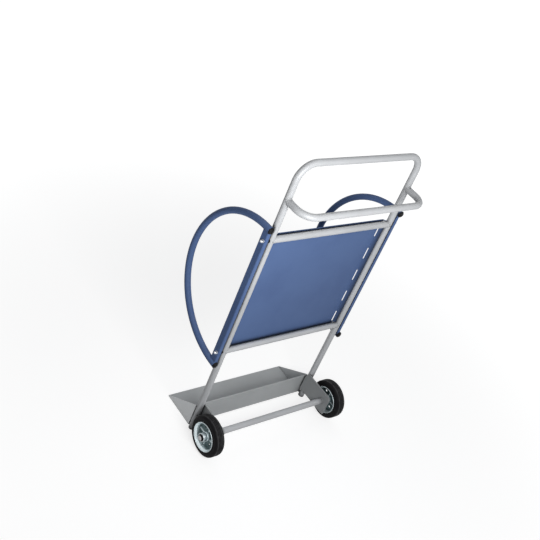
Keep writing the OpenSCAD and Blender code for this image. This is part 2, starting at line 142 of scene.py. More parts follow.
def ramp(tree, value, low, high, to_low=0.0, to_high=1.0):
    """A smooth step from low to high."""
    node = add(tree, "ShaderNodeMapRange", {"interpolation_type": "SMOOTHSTEP"}, Value=value,
               From_Min=low, From_Max=high, To_Min=to_low, To_Max=to_high)
    return node.outputs["Result"]


def noise(tree, place, scale, detail):
    """A noise texture's value socket."""
    return add(tree, "ShaderNodeTexNoise", Vector=place, Scale=scale, Detail=detail).outputs[0]


def place_in(tree):
    """Where a point lies in object space, in metres."""
    return add(tree, "ShaderNodeTexCoord").outputs["Object"]


def part_of(tree, vector, axis):
    """One axis of a vector."""
    return add(tree, "ShaderNodeSeparateXYZ", Vector=vector).outputs[axis]


def facing(tree, axis):
    """How far the surface faces along an axis."""
    return part_of(tree, add(tree, "ShaderNodeNewGeometry").outputs["Normal"], axis)


def group_of(name, inputs, outputs):
    """An empty node group with float inputs given as {name: value}, and float outputs by name."""
    tree = bpy.data.node_groups.new(name, "ShaderNodeTree")
    for label, value in inputs.items():
        socket = tree.interface.new_socket(label, in_out="INPUT", socket_type="NodeSocketFloat")
        socket.default_value = value
    for label in outputs:
        tree.interface.new_socket(label, in_out="OUTPUT", socket_type="NodeSocketFloat")
    return tree, tree.nodes.new("NodeGroupInput"), tree.nodes.new("NodeGroupOutput")


print("graph helpers ready")

# %% [markdown]
# ## Powder coat
# Powder paint melts into a skin with a faint orange-peel ripple, a millimetre or two across, and
# it is never quite one tone. The ripple could be modelled, but it is far below a pixel from a
# step away, so a noise in object space gives the ripple as height and the tone as a slow cloud.

# %% Group: powder coat skin
skin, skin_in, skin_out = group_of("powder_skin", {"Peel": 700.0, "Cloud": 7.0}, ["Height", "Tone"])
place = place_in(skin)
skin.links.new(noise(skin, place, skin_in.outputs["Peel"], 2.0), skin_out.inputs["Height"])
cloud = noise(skin, place, skin_in.outputs["Cloud"], 5.0)
skin.links.new(ramp(skin, cloud, 0.3, 0.7), skin_out.inputs["Tone"])
print("group:", skin.name)

# %% [markdown]
# ## Edges that have been rubbed
# Paint thins on sharp corners and gets polished there by hands, straps and floors. The Bevel node
# looks a short way round each point; where its softened normal leaves the true one there is an
# edge. A noise breaks the line so that the rub comes and goes.

# %% Group: edge rub
rub, rub_in, rub_out = group_of("edge_rub", {"Width": 1.2 * MM, "Amount": 0.5}, ["Mask"])
soft = add(rub, "ShaderNodeBevel", {"samples": 4}, Radius=rub_in.outputs["Width"]).outputs[0]
true = add(rub, "ShaderNodeNewGeometry").outputs["Normal"]
alike = add(rub, "ShaderNodeVectorMath", {"operation": "DOT_PRODUCT"}, _0=soft, _1=true)
edge = ramp(rub, math_node(rub, "SUBTRACT", 1.0, alike.outputs["Value"]), 0.02, 0.2)
patch = ramp(rub, noise(rub, place_in(rub), 45.0, 4.0), 0.35, 0.65)
mask = times(rub, times(rub, edge, patch), rub_in.outputs["Amount"], True)
rub.links.new(mask, rub_out.inputs["Mask"])
print("group:", rub.name)

# %% [markdown]
# ## Dust and fine scratches
# Dust settles on what faces up, in patches. Scratches come from sliding loads: long, thin and
# mostly in one direction. The first reads the surface's upward slope, the second stretches a noise
# until its spots become streaks.

# %% Group: settled dust
dust, dust_in, dust_out = group_of("settled_dust", {"Amount": 0.3}, ["Mask"])
upward = ramp(dust, facing(dust, "Z"), 0.25, 0.95)
patch = ramp(dust, noise(dust, place_in(dust), 22.0, 6.0), 0.3, 0.75)
mask = times(dust, times(dust, upward, patch), dust_in.outputs["Amount"], True)
dust.links.new(mask, dust_out.inputs["Mask"])
print("group:", dust.name)

# %% Group: fine scratches
SCRATCH_EDGE = 9.0
mark, mark_in, mark_out = group_of(
    "fine_scratches", {"Across": 4.0, "Along": 260.0, "Cut": 0.66}, ["Mask"])
across, along = mark_in.outputs["Across"], mark_in.outputs["Along"]
stretch = add(mark, "ShaderNodeCombineXYZ", X=along, Y=across, Z=along).outputs[0]
drawn = add(mark, "ShaderNodeVectorMath", {"operation": "MULTIPLY"}, _0=place_in(mark), _1=stretch)
streak = noise(mark, drawn.outputs[0], 1.0, 3.0)
over = math_node(mark, "SUBTRACT", streak, mark_in.outputs["Cut"])
mark.links.new(times(mark, over, SCRATCH_EDGE, True), mark_out.inputs["Mask"])
print("group:", mark.name)

# %% [markdown]
# ## Painted shade in the corners
# The gaps between two plates, the feet of welds and other corners are painted darker here: this is
# painted shade, standing in for the shadow that falls there. An Ambient Occlusion node measures how
# boxed-in a point is within a short reach, and sets where the shade is painted. The narrow channel
# between the bent side of the panel and the upright beside it is the darkest of these places, and
# the measure is too weak there, so the group also paints shade on the back of a sheet from its fold
# outwards.

# %% Group: painted corner shade
corner_shade, corner_shade_in, corner_shade_out = group_of(
    "painted_corner_shade", {"Reach": 16 * MM, "Open": 0.7, "Amount": 0.85, "Fold": 1.0, "Edge": 1.1},
    ["Mask"])
shut = add(corner_shade, "ShaderNodeAmbientOcclusion", {"samples": 8}, Distance=corner_shade_in.outputs["Reach"])
share = math_node(corner_shade, "DIVIDE", shut.outputs["AO"], corner_shade_in.outputs["Open"])
boxed = ramp(corner_shade, share, 0.4, 1.0, 1.0, 0.0)
aside = math_node(corner_shade, "ABSOLUTE", part_of(corner_shade, place_in(corner_shade), "X"))
channel = add(corner_shade, "ShaderNodeMapRange", Value=aside, From_Min=corner_shade_in.outputs["Fold"],
              From_Max=corner_shade_in.outputs["Edge"]).outputs["Result"]
# Painted shade on the back of the sheet between Fold and Edge, past its fold.
behind = times(corner_shade, channel, ramp(corner_shade, facing(corner_shade, "Y"), -0.3, 0.1, 1.0, 0.0))
shaded_where = math_node(corner_shade, "MAXIMUM", boxed, behind)
mask = times(corner_shade, shaded_where, corner_shade_in.outputs["Amount"], True)
corner_shade.links.new(mask, corner_shade_out.inputs["Mask"])
print("group:", corner_shade.name)

# %% [markdown]
# ## Zinc plate and moulded black
# Zinc plating keeps a trace of its crystals: faint patches a few millimetres wide that reflect a
# little differently. Rubber and plastic come out of a mould with a fine even grain. Both are small
# enough to be texture, so each gets one group that gives tone and height. The deep web of a pressed
# rim is painted dark teal, as painted shade, against its bright lip and ribs; how far a point lies
# from the wheel's middle plane tells the two apart. A tyre greys where it runs on the floor, so the
# ribs of the tread get lighter than the grooves; the distance from the axle tells those apart.

# %% Group: zinc crystals
crystal, crystal_in, crystal_out = group_of("zinc_crystals", {"Size": 260.0}, ["Tone", "Height"])
place = place_in(crystal)
cell = add(crystal, "ShaderNodeTexVoronoi", Vector=place, Scale=crystal_in.outputs["Size"])
tint = add(crystal, "ShaderNodeSeparateColor", Color=cell.outputs["Color"]).outputs[0]
both = math_node(crystal, "ADD", tint, noise(crystal, place, 60.0, 4.0))
crystal.links.new(times(crystal, both, 0.5), crystal_out.inputs["Tone"])
crystal.links.new(cell.outputs["Distance"], crystal_out.inputs["Height"])
print("group:", crystal.name)

# %% Group: painted web shade
sunk, sunk_in, sunk_out = group_of(
    "painted_web_shade", {"Middle": 0.3, "Deep": 2.2 * MM, "Proud": 9 * MM}, ["Mask"])
# Painted shade: the mask is one in the web near the middle plane and nought on the lip and ribs.
along = math_node(sunk, "ABSOLUTE", part_of(sunk, place_in(sunk), "X"))
away = math_node(sunk, "ABSOLUTE", math_node(sunk, "SUBTRACT", along, sunk_in.outputs["Middle"]))
mask = ramp(sunk, away, sunk_in.outputs["Deep"], sunk_in.outputs["Proud"], 1.0, 0.0)
sunk.links.new(mask, sunk_out.inputs["Mask"])
print("group:", sunk.name)

# %% Group: tread wear
tread, tread_in, tread_out = group_of(
    "tread_wear", {"AxleY": 0.0, "AxleZ": 0.0, "Worn": 0.08, "Amount": 0.3}, ["Mask"])
place = place_in(tread)
squares = []
for axis in "YZ":
    off = math_node(tread, "SUBTRACT", part_of(tread, place, axis), tread_in.outputs["Axle" + axis])
    squares.append(times(tread, off, off))
radius = math_node(tread, "SQRT", math_node(tread, "ADD", *squares))
depth = math_node(tread, "SUBTRACT", tread_in.outputs["Worn"], radius)
ground = ramp(tread, depth, 0.2 * MM, 0.7 * MM, 1.0, 0.0)
patch = ramp(tread, noise(tread, place, 60.0, 4.0), 0.2, 0.6)
mask = times(tread, times(tread, ground, patch), tread_in.outputs["Amount"], True)
tread.links.new(mask, tread_out.inputs["Mask"])
print("group:", tread.name)

# %% Group: moulded grain
grain, grain_in, grain_out = group_of("moulded_grain", {"Grain": 1500.0}, ["Height", "Tone"])
place = place_in(grain)
grain.links.new(noise(grain, place, grain_in.outputs["Grain"], 3.0), grain_out.inputs["Height"])
bloom = noise(grain, place, 28.0, 5.0)
grain.links.new(ramp(grain, bloom, 0.3, 0.72), grain_out.inputs["Tone"])
print("group:", grain.name)

# %% [markdown]
# ## From groups to finishes
# Every finish here is one Principled shader fed by the groups. Three short builders cover the
# painted, the plated and the moulded pieces, with the numbers that make each finish its own. The
# gussets get a lighter, more metallic copy of the plate grey, so their outer faces pick up the pale
# floor: painted light. The brackets get a darker copy of it, which is painted shade, and their
# edges rub to the plate's pale grey, which is partly a painted highlight.

# %% Painted finishes
# The second colour is the painted shade laid into corners and gaps.
DUST, CORNER_SHADE_TONE = (0.42, 0.41, 0.39, 1.0), (0.012, 0.013, 0.016, 1.0)
SCRATCH_SHOWS, TONE_ROUGH, DUST_ROUGH = 0.35, 0.07, 0.3
PEEL_BUMP = {"strength": 0.25, "distance": 0.12 * MM}
PANEL_SIDE = 19 * MM


def place_group(tree, group, **values):
    """Put a shared group into a material with its own input values."""
    node = add(tree, "ShaderNodeGroup", {"node_tree": group})
    for key, value in values.items():
        node.inputs[key].default_value = value
    return node


def shader_of(name, **constants):
    """A new material, its tree and its Principled shader, with constant socket values."""
    material = bpy.data.materials.new(name)
    material.use_nodes = True
    shader = material.node_tree.nodes["Principled BSDF"]
    for key, value in constants.items():
        shader.inputs[key.replace("_", " ")].default_value = value
    return material, material.node_tree, shader


def bump(tree, shader, height, strength, distance):
    """Feed a height into the shader's normal."""
    node = add(tree, "ShaderNodeBump", Height=height, Strength=strength, Distance=distance)
    tree.links.new(node.outputs[0], shader.inputs["Normal"])


def powder_coat(name, light, dark, rubbed, rough, metallic, shine, wear, dirt, scratch, **corners):
    """Painted steel: two close tones, rubbed edges, scratches, dust on top, painted corner shade.
    """
    material, tree, shader = shader_of(name, Metallic=metallic, Specular_IOR_Level=shine)
    surface = place_group(tree, skin)
    edges = place_group(tree, rub, Amount=wear).outputs["Mask"]
    lines = place_group(tree, mark, Cut=scratch).outputs["Mask"]
    dusty = place_group(tree, dust, Amount=dirt).outputs["Mask"]
    corner_shade_mask = place_group(tree, corner_shade, **corners).outputs["Mask"]
    colour = mix_colour(tree, surface.outputs["Tone"], dark, light)
    worn = math_node(tree, "MAXIMUM", edges, times(tree, lines, SCRATCH_SHOWS))
    for where, tone in ((worn, rubbed), (dusty, DUST), (corner_shade_mask, CORNER_SHADE_TONE)):
        colour = mix_colour(tree, where, colour, tone)
    tree.links.new(colour, shader.inputs["Base Color"])
    base = math_node(tree, "ADD", times(tree, surface.outputs["Tone"], TONE_ROUGH), rough)
    matt = math_node(tree, "ADD", base, times(tree, dusty, DUST_ROUGH))
    tree.links.new(matt, shader.inputs["Roughness"])
    bump(tree, shader, surface.outputs["Height"], **PEEL_BUMP)
    return material


# Reach and Open set each coat's painted corner shade; the silver coat's wide reach darkens the
# tubes well away from each joint.
silver_coat = powder_coat(
    "silver_grey_coat", light=(0.567, 0.579, 0.596, 1), dark=(0.514, 0.526, 0.541, 1),
    rubbed=(0.66, 0.67, 0.68, 1), rough=0.38, metallic=0.08, shine=0.15, wear=0.35, dirt=0.08,
    scratch=0.74, Reach=45 * MM, Open=0.95)
plate_coat = powder_coat(
    "plate_grey_coat", light=(0.508, 0.527, 0.536, 1), dark=(0.453, 0.471, 0.48, 1),
    rubbed=(0.63, 0.64, 0.65, 1), rough=0.42, metallic=0.05, shine=0.1, wear=0.7, dirt=0.10,
    scratch=0.66)
# Painted light: a lighter, more metallic copy of the plate grey for the gussets.
lit_gusset_coat = powder_coat(
    "gusset_lit_grey_coat", light=(0.56, 0.575, 0.585, 1), dark=(0.51, 0.525, 0.535, 1),
    rubbed=(0.66, 0.67, 0.68, 1), rough=0.45, metallic=0.5, shine=0.3, wear=0.7, dirt=0.10,
    scratch=0.66)
# Painted shade: a darker copy of the plate grey for the brackets; their pale rubbed edges are
# partly a painted highlight.
shaded_bracket_coat = powder_coat(
    "bracket_shaded_grey_coat", light=(0.345, 0.358, 0.364, 1), dark=(0.308, 0.32, 0.326, 1),
    rubbed=(0.63, 0.64, 0.65, 1), rough=0.42, metallic=0.05, shine=0.1, wear=0.8, dirt=0.10,
    scratch=0.66)
# The blue's wide reach paints shade far out from each corner, and the panel's Fold and Edge also
# paint shade on the back of its bent sides.
blue_look = {"light": (0.100, 0.161, 0.328, 1), "dark": (0.085, 0.139, 0.296, 1),
             "rubbed": (0.19, 0.255, 0.44, 1), "rough": 0.42, "metallic": 0.0, "shine": 0.08,
             "wear": 0.4, "dirt": 0.06, "scratch": 0.73, "Reach": 35 * MM, "Open": 0.9}
blue_coat = powder_coat("blue_coat", **blue_look)
panel_coat = powder_coat("panel_blue_coat", **blue_look,
                         Fold=panel_edge - PANEL_SIDE, Edge=panel_edge)
painted = (silver_coat, plate_coat, lit_gusset_coat, shaded_bracket_coat, blue_coat, panel_coat)
print("painted finishes:", [m.name for m in painted])

# %% Bare metal and moulded finishes
# The first colour is painted shade for the rim's deep web; the second is painted shade for plated
# recesses.
WEB_SHADE_TEAL, ZINC_SHADE_TONE, SCUFFED = (0.060, 0.095, 0.100, 1), (0.02, 0.021, 0.023, 1), (0.11, 0.11, 0.115, 1)
MOULDED_SHINE, BARE_ROUGH = 0.06, 0.12
CRYSTAL_BUMP = {"strength": 0.05, "distance": 0.08 * MM}
GRAIN_BUMP = {"strength": 0.3, "distance": 0.15 * MM}


def bright_metal(name, light, dark, metallic, rough, size, shade_tone, shade_group, **reach):
    """Plated metal: crystals change tone and gloss, and the group's mask paints shade on it."""
    material, tree, shader = shader_of(name, Metallic=metallic)
    zinc = place_group(tree, crystal, Size=size)
    colour = mix_colour(tree, zinc.outputs["Tone"], dark, light)
    recess_shade_mask = place_group(tree, shade_group, **reach).outputs["Mask"]
    tree.links.new(mix_colour(tree, recess_shade_mask, colour, shade_tone), shader.inputs["Base Color"])
    gloss = math_node(tree, "ADD", times(tree, zinc.outputs["Tone"], BARE_ROUGH), rough)
    tree.links.new(gloss, shader.inputs["Roughness"])
    bump(tree, shader, zinc.outputs["Height"], **CRYSTAL_BUMP)
    return material


def moulded(name, light, dark, rough, grain_size, dirt, worn, **where):
    """Rubber or plastic: even grain, faint bloom, a little dust, the worn group's mask scuffed."""
    material, tree, shader = shader_of(name, Specular_IOR_Level=MOULDED_SHINE)
    body = place_group(tree, grain, Grain=grain_size)
    dusty = place_group(tree, dust, Amount=dirt).outputs["Mask"]
    scuffs = place_group(tree, worn, **where).outputs["Mask"]
    colour = mix_colour(tree, body.outputs["Tone"], dark, light)
    colour = mix_colour(tree, scuffs, colour, SCUFFED)
    tree.links.new(mix_colour(tree, dusty, colour, DUST), shader.inputs["Base Color"])
    gloss = math_node(tree, "ADD", times(tree, body.outputs["Tone"], BARE_ROUGH), rough)
    tree.links.new(gloss, shader.inputs["Roughness"])
    bump(tree, shader, body.outputs["Height"], **GRAIN_BUMP)
    return material


# Zinc, bright zinc and cap zinc paint shade into their recesses through the corner shade group; the
# cap's undercut neck is one of these.
zinc_plate = bright_metal(
    "zinc_plate", light=(0.70, 0.74, 0.76, 1), dark=(0.58, 0.63, 0.65, 1), metallic=1.0,
    rough=0.24, size=260.0, shade_tone=ZINC_SHADE_TONE, shade_group=corner_shade, Reach=10 * MM)
# The rim paints its deep web dark teal as shade, against a bright lip and ribs.
rim_zinc = bright_metal(
    "rim_zinc", light=(0.80, 0.88, 0.90, 1), dark=(0.70, 0.79, 0.82, 1), metallic=0.7,
    rough=0.30, size=180.0, shade_tone=WEB_SHADE_TEAL, shade_group=sunk, Middle=wheel_x)
bright_zinc = bright_metal(
    "bright_zinc", light=(0.74, 0.75, 0.76, 1), dark=(0.64, 0.66, 0.68, 1), metallic=1.0,
    rough=0.24, size=500.0, shade_tone=ZINC_SHADE_TONE, shade_group=corner_shade, Reach=6 * MM)
cap_zinc = bright_metal(
    "cap_zinc", light=(0.44, 0.435, 0.44, 1), dark=(0.36, 0.36, 0.365, 1), metallic=1.0,
    rough=0.36, size=500.0, shade_tone=ZINC_SHADE_TONE, shade_group=corner_shade, Reach=6 * MM)
tyre_rubber = moulded(
    "tyre_rubber", light=(0.012, 0.012, 0.013, 1), dark=(0.007, 0.007, 0.008, 1), rough=0.50,
    grain_size=1400.0, dirt=0.03, worn=tread, AxleY=axle_at.y, AxleZ=axle_at.z, Worn=wheel_r,
    Amount=0.32)
black_plastic = moulded(
    "black_plastic", light=(0.014, 0.014, 0.016, 1), dark=(0.008, 0.008, 0.009, 1), rough=0.38,
    grain_size=2200.0, dirt=0.03, worn=rub, Amount=0.7)
bare = (zinc_plate, rim_zinc, bright_zinc, cap_zinc, tyre_rubber, black_plastic)
print("bare finishes:", [m.name for m in bare])

# %% [markdown]
# ## Finishes on the construction solids
# Each solid keeps its mesh and takes a finish. Sheet and plate edges on the real trolley are
# slightly rounded by the paint, and a rounded edge is what catches light, so those solids also get
# a bevel of half a millimetre or so as a modifier.


# %% Dress the solids
def pair(*stems):
    """Names of the left and the right solid for each stem."""
    return [side + "_" + stem for stem in stems for side, _ in SIDES]


finish_of = {
    silver_coat: ["hoop_frame", "push_handle", "upper_rail", "lower_rail", "axle_tube"],
    plate_coat: ["toe_plate", "toe_welds"],
    lit_gusset_coat: pair("toe_gusset"),
    shaded_bracket_coat: pair("axle_bracket"),
    blue_coat: pair("guard_tube", "guard_bar"),
    panel_coat: ["back_panel"],
    bright_zinc: ["guard_studs", "guard_washers", "guard_cap_nuts", "panel_rivets", "axle",
                  "axle_caps"] + pair("rollers"),
    zinc_plate: ["thrust_washers"] + pair("rim_outer", "rim_inner", "hub"),
    tyre_rubber: pair("tyre"),
    black_plastic: ["foot_plugs", "guard_end_plugs", "guard_spacers"] + pair("roller_cage"),
}
for material, names in finish_of.items():
    for name in names:
        mesh = nodes[name].data
        mesh.materials.clear()
        mesh.materials.append(material)
dressed = {name for names in finish_of.values() for name in names}
print("dressed", len(dressed), "of", len(nodes), "solids; left over:", sorted(set(nodes) - dressed))

# %% Round the plate edges
WELD_WITHIN, SHARP_FROM = 0.01 * MM, math.radians(40)
rounded_by = {
    0.3: ["back_panel", "guard_washers", "guard_spacers"],
    0.4: ["guard_cap_nuts"] + pair("hub"),
    0.5: ["thrust_washers"],
    0.6: pair("toe_gusset"),
    0.7: ["toe_plate"],
    0.8: ["foot_plugs"] + pair("axle_bracket"),
}
for width, names in rounded_by.items():
    for name in names:
        weld = nodes[name].modifiers.new("join_corners", "WELD")
        weld.merge_threshold = WELD_WITHIN
        bevel = nodes[name].modifiers.new("rounded_edge", "BEVEL")
        bevel.width = width * MM
        bevel.segments = 2
        bevel.limit_method = "ANGLE"
        bevel.angle_limit = SHARP_FROM
        bevel.harden_normals = True
print("rounded edges on", sum(len(names) for names in rounded_by.values()), "solids")

# %% [markdown]
# ## Turned and pressed pieces
# Tyres, rims, rivet heads and plugs are all round, so one outline spun about an axis makes each of
# them. Blender has a Spin tool and a Screw modifier for this; a small function that lays out the
# rings itself gives the points in a known order, which the pressed rims need for their ribs. A
# shape is passed on as its points and faces until it becomes a piece.


# %% Spin an outline
def fill_mesh(mesh, shape):
    """Put a shape into a mesh, join doubled points and turn the faces outwards."""
    points, faces = shape
    mesh.from_pydata([tuple(p) for p in points], [], faces)
    work = bmesh.new()
    work.from_mesh(mesh)
    bmesh.ops.remove_doubles(work, verts=work.verts, dist=0.001 * MM)
    bmesh.ops.recalc_face_normals(work, faces=work.faces)
    work.to_mesh(mesh)
    work.free()


def piece_from(name, shape, material, body, sharp=40.0):
    """Make a piece, shade it smooth up to the sharp angle and let it ride on a body."""
    mesh = bpy.data.meshes.new(name)
    fill_mesh(mesh, shape)
    mesh.shade_smooth()
    mesh.set_sharp_from_angle(angle=math.radians(sharp))
    mesh.materials.append(material)
    piece = bpy.data.objects.new(name, mesh)
    bpy.context.scene.collection.objects.link(piece)
    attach(piece, body)
    return piece


def spin(outline, steps, closed, lift=None):
    """Shape of an outline of (radius, height) in mm turned about Z; lift adds height."""
    points, faces, n = [], [], len(outline)
    for i in range(steps):
        angle = math.tau * i / steps
        for radius, height in outline:
            up = height + (lift(radius, height, angle) if lift else 0.0)
            points.append(Vector((radius * math.cos(angle), radius * math.sin(angle), up)) * MM)
    for i in range(steps):
        here, after = i * n, (i + 1) % steps * n
        for j in range(n if closed else n - 1):
            k = (j + 1) % n
            faces.append((here + j, here + k, after + k, after + j))
    return points, faces


def aim(at, direction):
    """A placement that puts local Z along a direction."""
    turned = Vector(direction).to_track_quat("Z", "Y").to_matrix().to_4x4()
    return Matrix.Translation(at) @ turned


def joined(shapes):
    """Several shapes as one."""
    points, faces = [], []
    for own_points, own_faces in shapes:
        start = len(points)
        points += own_points
        faces += [tuple(k + start for k in face) for face in own_faces]
    return points, faces


def spread(shape, places):
    """Copies of a shape, one at each placement."""
    points, faces = shape
    return joined([([matrix @ p for p in points], faces) for matrix in places])


print("spin helper ready")

# %% [markdown]
# ## Tyres
# A solid rubber tyre is moulded: round shoulders, three tread grooves with softened lips, a fine
# step at the shoulder and two thin rings on each sidewall. The outline holds all of it, so the
# grooves throw real shadows.

# %% Tyre outline
TREAD_R, TYRE_HALF, SHOULDER_R = wheel_r / MM, tyre_half / MM, 10.0
BEAD_R, FLANK_R, SEAT_HALF = 52.0, 58.0, tyre_half / MM - 6.0
SHOULDER_STEPS, STEP_AT, STEP_PROUD = 12, (7, 8), 0.5
GROOVES_AT = (5.75, 0.0)
HALF_GROOVE = [(1.8, 0.0), (1.25, -0.25), (1.0, -1.2), (0.8, -2.1), (0.0, -2.3)]
TYRE_STEPS, TYRE_SHARP = 144, 50.0


def half_tyre():
    """Outline of one half, from the sidewall's foot to the tread's middle line."""
    side = [(FLANK_R, TYRE_HALF - 0.4), (61.0, TYRE_HALF), (63.2, TYRE_HALF),
            (63.6, TYRE_HALF - 0.8), (64.6, TYRE_HALF - 0.8), (65.0, TYRE_HALF), (69.5, TYRE_HALF)]
    for k in range(SHOULDER_STEPS + 1):
        turn = math.radians(90 * k / SHOULDER_STEPS)
        reach = SHOULDER_R + (STEP_PROUD if k in STEP_AT else 0.0)
        side.append((TREAD_R - SHOULDER_R + reach * math.sin(turn),
                     TYRE_HALF - SHOULDER_R + reach * math.cos(turn)))
    groove = HALF_GROOVE + [(-du, dr) for du, dr in reversed(HALF_GROOVE[:-1])]
    for at in GROOVES_AT:
        side += [(TREAD_R + dr, at + du) for du, dr in groove if at + du >= 0.0]
    return side


def wheel_place(sign, face=1):
    """Placement at a wheel's middle with local Z along the axle; face 1 looks outwards."""
    return aim(Vector((sign * wheel_x, axle_at.y, axle_at.z)), (sign * face, 0, 0))


upper = half_tyre()
lower = [(r, -u) for r, u in reversed(upper[:-1])]
tyre_outline = upper + lower + [(BEAD_R, -SEAT_HALF), (BEAD_R, SEAT_HALF)]
tyre_shape = spin(tyre_outline, TYRE_STEPS, True)
for side, sign in SIDES:
    tyre = piece_from(side + "_moulded_tyre", spread(tyre_shape, [wheel_place(sign)]), tyre_rubber,
                      side + "_wheel", TYRE_SHARP)
    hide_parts(side + "_tyre")
print("tyres:", len(tyre_outline), "points in the outline")

# %% [markdown]
# ## Pressed rims
# Each wheel has two sheet halves, drawn in a press: a collar on the hub, a flat web with four
# ribs, a straight wall and a flared lip with a rolled edge. Ribs are part of the sheet, so the
# spun web is lifted along four lines with a smooth cross-section. A cut with round bars then
# opens the four holes.

# %% Rim outline and ribs
HUB_R, COLLAR_R, WALL_R, WEB_U = 17.0, 19.0, 50.0, 2.0
RIB_HIGH, RIB_HALF, RIB_RUN, RIBS = 4.6, 6.5, 3.0, 4
rim_lo, rim_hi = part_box("right_rim_outer")
LIP_R, LIP_TOP = (rim_hi.z - rim_lo.z) / 2 / MM, (rim_hi.x - wheel_x) / MM
collar = [(HUB_R, 13.4), (17.4, 14.0), (18.6, 14.0), (COLLAR_R, 13.5), (COLLAR_R, 4.2), (19.3, 2.9)]
web = [(20.5 + 1.5 * k, WEB_U) for k in range(19)]
wall = [(48.6, 2.2), (49.5, 2.9), (WALL_R, 4.2), (WALL_R, 9.0), (WALL_R, SEAT_HALF - 0.8),
        (50.5, SEAT_HALF + 0.5)]
lip = [(LIP_R - 2.6, TYRE_HALF - 0.6), (LIP_R - 2.0, TYRE_HALF + 0.4), (LIP_R - 1.9, LIP_TOP - 0.9),
       (LIP_R - 1.5, LIP_TOP - 0.3), (LIP_R - 0.9, LIP_TOP), (LIP_R - 0.3, LIP_TOP - 0.3),
       (LIP_R, LIP_TOP - 0.9), (LIP_R, TYRE_HALF + 0.2), (LIP_R - 0.8, TYRE_HALF - 0.8)]
seat = [(BEAD_R - 0.1, SEAT_HALF), (BEAD_R - 0.1, 0.0), (HUB_R, 0.0)]
rim_outline = collar + web + wall + lip + seat


def rib_lift(radius, height, angle):
    """Height that the press adds to the web over a rib."""
    if height != WEB_U:
        return 0.0
    nearest = round(angle / (math.tau / RIBS)) * math.tau / RIBS
    across = abs(radius * math.sin(angle - nearest)) / RIB_HALF
    if across >= 1.0:
        return 0.0
    ends = min(1.0, (radius - COLLAR_R) / RIB_RUN, (WALL_R - radius) / RIB_RUN)
    return RIB_HIGH * ends * (0.5 + 0.5 * math.cos(math.pi * across))


print("rim:", len(rim_outline), "points in the outline")

# %% Press the rims
HOLE_R, HOLE_AT, BAR_LOW, BAR_HIGH = 5.0, 34.5, -3.0, 12.0
RIM_STEPS, BAR_STEPS = 180, 32
bar_outline = [(0.0, BAR_LOW), (HOLE_R, BAR_LOW), (HOLE_R, BAR_HIGH), (0.0, BAR_HIGH)]
between_ribs = [Matrix.Rotation(math.tau * (k + 0.5) / RIBS, 3, "Z") for k in range(RIBS)]
spots = [Matrix.Translation(turn @ Vector((HOLE_AT * MM, 0, 0))) for turn in between_ribs]


def pressed_sheet():
    """Shape of one rim half about Z with its holes cut."""
    shapes = {"sheet": spin(rim_outline, RIM_STEPS, True, rib_lift),
              "bars": spread(spin(bar_outline, BAR_STEPS, False), spots)}
    things = []
    for name, shape in shapes.items():
        thing = bpy.data.objects.new(name, bpy.data.meshes.new(name))
        bpy.context.scene.collection.objects.link(thing)
        fill_mesh(thing.data, shape)
        things.append(thing)
    sheet, bars = things
    cut = sheet.modifiers.new("holes", "BOOLEAN")
    cut.object = bars
    cut.solver = "EXACT"
    graph = bpy.context.evaluated_depsgraph_get()
    result = bpy.data.meshes.new_from_object(sheet.evaluated_get(graph))
    points = [v.co.copy() for v in result.vertices]
    faces = [tuple(p.vertices) for p in result.polygons]
    for thing in things:
        bpy.data.objects.remove(thing, do_unlink=True)
    return points, faces


rim_shape = pressed_sheet()
for side, sign in SIDES:
    for half, face in (("outer", 1), ("inner", -1)):
        rim = piece_from(side + "_pressed_rim_" + half,
                         spread(rim_shape, [wheel_place(sign, face)]), rim_zinc,
                         side + "_wheel")
        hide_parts(side + "_rim_" + half)
print("rims:", len(rim_shape[0]), "points each")

# %% [markdown]
# ## Small caps and heads
# The axle ends wear a plated disc in a black push-on collar, the guard tubes are closed with
# moulded plugs that have a ring sunk in the dome, and the panel is held by blind rivets, whose
# heads keep the hole of the pulled pin. All of them are outlines spun at the places their solids
# give.

# %% Axle caps
CAP_LEN, CAP_STEPS = 6.5, 64
cap_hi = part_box("axle_caps")[1]
cap_r = extent("axle_caps").z / 2 / MM
disc_outline = [(0.0, 4.1), (9.8, 4.1), (9.8, 5.6), (9.3, 6.2), (8.4, CAP_LEN), (3.2, CAP_LEN),
                (2.6, 6.0), (0.0, 5.9)]
collar_outline = [(10.1, 0.0), (cap_r - 0.3, 0.0), (cap_r, 0.3), (cap_r, 1.6), (12.2, 3.2),
                  (11.6, 4.6), (10.8, 5.2), (9.9, 5.2), (9.9, 4.1), (10.1, 4.1)]
cap_x = cap_hi.x - CAP_LEN * MM
caps = [aim(Vector((sign * cap_x, axle_at.y, axle_at.z)), (sign, 0, 0)) for _, sign in SIDES]
disc = piece_from("plated_cap_discs", spread(spin(disc_outline, CAP_STEPS, False), caps), cap_zinc,
                  "frame")
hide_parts("axle_caps")
piece_from("black_cap_collars", spread(spin(collar_outline, CAP_STEPS, True), caps), black_plastic,
           "frame")
print("axle caps at", [round(v, 4) for v in caps[1].translation])

